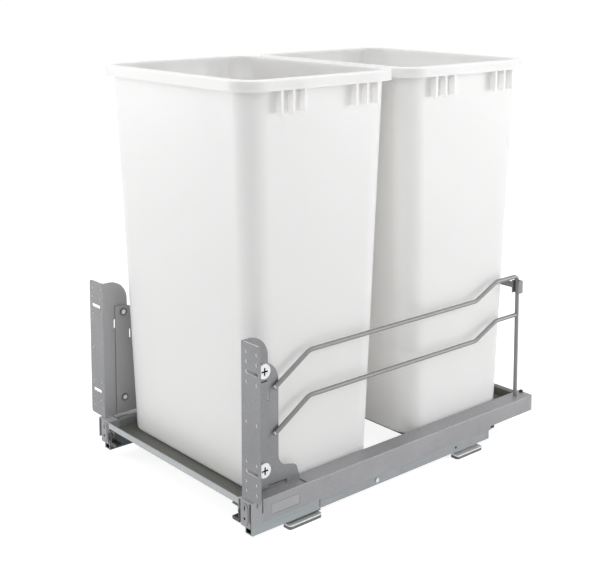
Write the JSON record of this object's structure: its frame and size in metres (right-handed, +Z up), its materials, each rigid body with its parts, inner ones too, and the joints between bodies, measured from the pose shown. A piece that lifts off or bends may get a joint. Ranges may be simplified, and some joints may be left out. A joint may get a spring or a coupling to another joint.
{
  "type": "pull-out waste bin frame",
  "caption": "Soft-close pull-out frame on telescopic slides with side wires and door brackets, carrying tall tapered waste bins one behind the other.",
  "frame": {"origin": "centre of the bounding box's bottom face, on the cabinet floor", "axes": "+Z up from the cabinet floor, -Y towards the door, +X to the right seen from the door; the frame is symmetric about the YZ plane"},
  "size_m": [0.396, 0.548, 0.5735],
  "materials": {
    "zinc_plated": "zinc-plated rolled steel",
    "silver_paint": "silver-grey powder coat",
    "wire_paint": "silver-grey coated steel wire",
    "bright_zinc": "bright zinc-plated steel",
    "dark_paint": "dark grey coated sheet steel",
    "silver_plastic": "silver-grey moulded plastic",
    "dark_plastic": "dark grey moulded plastic",
    "ball_steel": "hardened steel ball",
    "black_rubber": "black rubber pad",
    "black_plastic": "black moulded plastic",
    "white_plastic": "white moulded polymer, satin"
  },
  "bodies": {
    "base": {"cabinet_rail_right": "zinc_plated", "cabinet_rail_left": "zinc_plated", "front_foot_right": "zinc_plated", "front_foot_left": "zinc_plated", "rear_foot_right": "zinc_plated", "rear_foot_left": "zinc_plated", "front_foot_pads": "black_rubber", "rear_foot_pads": "black_rubber", "rail_rivets": "bright_zinc", "damper_housing_right": "dark_plastic", "damper_housing_left": "dark_plastic"},
    "carriage": {"drawer_rail_right": "silver_paint", "drawer_rail_left": "silver_paint", "rear_bumpers": "black_plastic", "side_channel_right": "silver_paint", "side_channel_left": "silver_paint", "badge_plates": "silver_plastic", "front_end_cap_right": "silver_plastic", "front_end_cap_left": "silver_plastic", "rear_end_cap_right": "silver_plastic", "rear_end_cap_left": "silver_plastic", "end_cap_screws": "black_plastic", "front_latches": "silver_paint", "upright_right": "silver_paint", "upright_left": "silver_paint", "wire_rivets": "bright_zinc", "upper_wire_right": "wire_paint", "upper_wire_left": "wire_paint", "lower_wire_right": "wire_paint", "lower_wire_left": "wire_paint", "rear_strap": "silver_paint", "front_lip": "silver_paint", "front_cross_bar": "dark_paint", "front_middle_bar": "dark_paint", "rear_middle_bar": "dark_paint", "rear_cross_bar": "dark_paint", "damper_catches": "dark_paint"},
    "front_bin": {"front_bin": "white_plastic"},
    "rear_bin": {"rear_bin": "white_plastic"},
    "middle_right": {"middle_rail_right": "zinc_plated"},
    "lower_cage_right": {"lower_ball_cage_right": "dark_plastic", "lower_balls_right": "ball_steel"},
    "upper_cage_right": {"upper_ball_cage_right": "dark_plastic", "upper_balls_right": "ball_steel"},
    "damper_right": {"damper_rod_right": "bright_zinc"},
    "lever_right": {"release_lever_right": "dark_plastic"},
    "bracket_right": {"door_bracket_right": "silver_paint"},
    "upper_cam_right": {"upper_cam_bolt_right": "bright_zinc"},
    "lower_cam_right": {"lower_cam_bolt_right": "bright_zinc"},
    "middle_left": {"middle_rail_left": "zinc_plated"},
    "lower_cage_left": {"lower_ball_cage_left": "dark_plastic", "lower_balls_left": "ball_steel"},
    "upper_cage_left": {"upper_ball_cage_left": "dark_plastic", "upper_balls_left": "ball_steel"},
    "damper_left": {"damper_rod_left": "bright_zinc"},
    "lever_left": {"release_lever_left": "dark_plastic"},
    "bracket_left": {"door_bracket_left": "silver_paint"},
    "upper_cam_left": {"upper_cam_bolt_left": "bright_zinc"},
    "lower_cam_left": {"lower_cam_bolt_left": "bright_zinc"}
  },
  "joints": [
    {"name": "pull_out", "type": "slide", "parent": "base", "child": "carriage", "axis": [0, -1, 0], "range_m": [0, 0.45]},
    {"name": "middle_slide_right", "type": "slide", "parent": "base", "child": "middle_right", "axis": [0, -1, 0], "range_m": [0, 0.225]},
    {"name": "lower_cage_roll_right", "type": "slide", "parent": "base", "child": "lower_cage_right", "axis": [0, -1, 0], "range_m": [0, 0.1125]},
    {"name": "upper_cage_roll_right", "type": "slide", "parent": "base", "child": "upper_cage_right", "axis": [0, -1, 0], "range_m": [0, 0.3375]},
    {"name": "damper_stroke_right", "type": "slide", "parent": "base", "child": "damper_right", "axis": [0, -1, 0], "range_m": [0, 0.04]},
    {"name": "release_right", "type": "hinge", "parent": "carriage", "child": "lever_right", "pos_m": [0.14905, -0.26645, 0.04], "axis": [0, 0, 1], "range_deg": [0, 12], "stiffness_Nm_per_rad": 0.2},
    {"name": "lower_cam_right", "type": "hinge", "parent": "carriage", "child": "lower_cam_right", "pos_m": [0.163, -0.242, 0.0845], "axis": [1, 0, 0], "range_deg": [-90, 90]},
    {"name": "upper_cam_right", "type": "hinge", "parent": "carriage", "child": "upper_cam_right", "pos_m": [0.163, -0.242, 0.2125], "axis": [1, 0, 0], "range_deg": [-90, 90]},
    {"name": "bracket_height_right", "type": "slide", "parent": "carriage", "child": "bracket_right", "axis": [0, 0, 1], "range_m": [-0.002, 0.002]},
    {"name": "middle_slide_left", "type": "slide", "parent": "base", "child": "middle_left", "axis": [0, -1, 0], "range_m": [0, 0.225]},
    {"name": "lower_cage_roll_left", "type": "slide", "parent": "base", "child": "lower_cage_left", "axis": [0, -1, 0], "range_m": [0, 0.1125]},
    {"name": "upper_cage_roll_left", "type": "slide", "parent": "base", "child": "upper_cage_left", "axis": [0, -1, 0], "range_m": [0, 0.3375]},
    {"name": "damper_stroke_left", "type": "slide", "parent": "base", "child": "damper_left", "axis": [0, -1, 0], "range_m": [0, 0.04]},
    {"name": "release_left", "type": "hinge", "parent": "carriage", "child": "lever_left", "pos_m": [-0.14905, -0.26645, 0.04], "axis": [0, 0, -1], "range_deg": [0, 12], "stiffness_Nm_per_rad": 0.2},
    {"name": "lower_cam_left", "type": "hinge", "parent": "carriage", "child": "lower_cam_left", "pos_m": [-0.163, -0.242, 0.0845], "axis": [1, 0, 0], "range_deg": [-90, 90]},
    {"name": "upper_cam_left", "type": "hinge", "parent": "carriage", "child": "upper_cam_left", "pos_m": [-0.163, -0.242, 0.2125], "axis": [1, 0, 0], "range_deg": [-90, 90]},
    {"name": "bracket_height_left", "type": "slide", "parent": "carriage", "child": "bracket_left", "axis": [0, 0, 1], "range_m": [-0.002, 0.002]},
    {"name": "front_bin_lift", "type": "slide", "parent": "carriage", "child": "front_bin", "axis": [0, 0, 1], "range_m": [0, 0.3]},
    {"name": "rear_bin_lift", "type": "slide", "parent": "carriage", "child": "rear_bin", "axis": [0, 0, 1], "range_m": [0, 0.3]}
  ],
  "couplings": [
    {"joint": "middle_slide_right", "follows": "pull_out", "ratio": 0.5},
    {"joint": "lower_cage_roll_right", "follows": "pull_out", "ratio": 0.25},
    {"joint": "upper_cage_roll_right", "follows": "pull_out", "ratio": 0.75},
    {"joint": "lower_cam_right", "follows": "bracket_height_right", "rad_per_m": 785},
    {"joint": "middle_slide_left", "follows": "pull_out", "ratio": 0.5},
    {"joint": "lower_cage_roll_left", "follows": "pull_out", "ratio": 0.25},
    {"joint": "upper_cage_roll_left", "follows": "pull_out", "ratio": 0.75},
    {"joint": "lower_cam_left", "follows": "bracket_height_left", "rad_per_m": 785}
  ]
}
